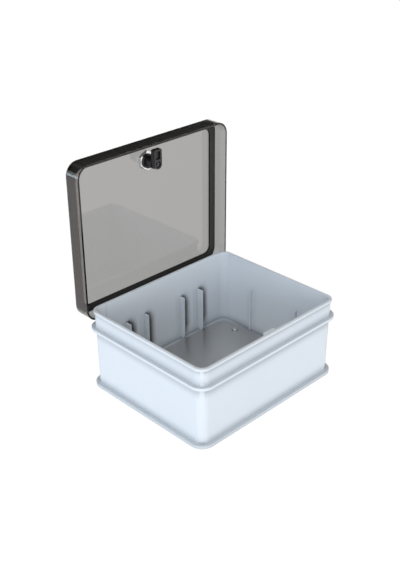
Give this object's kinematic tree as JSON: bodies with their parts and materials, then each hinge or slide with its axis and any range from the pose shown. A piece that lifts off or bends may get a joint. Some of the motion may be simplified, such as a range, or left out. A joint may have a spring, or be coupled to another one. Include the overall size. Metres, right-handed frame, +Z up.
{
  "type": "electrical enclosure",
  "caption": "Light grey moulded electrical box lying on its back, with a smoked see-through hinged lid standing open, a flat lid seal, a cam lock and a raised mounting plate.",
  "frame": {"origin": "middle of the base's underside, which is also the middle of the four wall-fixing holes", "axes": "+Z up from the underside towards the rim, +Y from the lock side towards the hinges, +X along the front to the right; the box lies on its back with the lid open"},
  "size_m": [0.3, 0.2758, 0.359],
  "materials": {
    "grey_plastic": "fine satin moulding",
    "smoked_plastic": "clear smoked, polished",
    "seal_rubber": "matt",
    "plate_steel": "galvanised, satin",
    "pin_steel": "drawn wire",
    "lock_black": "semi-gloss moulding",
    "plated_metal": "bright plated",
    "dark_steel": "blackened"
  },
  "bodies": {
    "base": {"base_box": "grey_plastic", "mounting_plate": "plate_steel", "plate_screws": "plated_metal", "hinge_pin_left": "pin_steel", "hinge_pin_right": "pin_steel"},
    "cover": {"lid": "smoked_plastic", "lid_gasket": "seal_rubber", "lock_housing": "lock_black", "lock_seal": "seal_rubber", "lock_nut": "plated_metal"},
    "lock": {"lock_core": "lock_black", "lock_cam": "lock_black", "cam_washer": "dark_steel", "cam_screw": "dark_steel"}
  },
  "joints": [
    {"name": "lid_hinge", "type": "hinge", "parent": "base", "child": "cover", "pos_m": [0, 0.1222, 0.1117], "axis": [-1, 0, 0], "range_deg": [-90, 0]},
    {"name": "lock_turn", "type": "hinge", "parent": "cover", "child": "lock", "pos_m": [0, 0.1346, 0.3246], "axis": [0, 1, 0], "range_deg": [0, 90]}
  ]
}
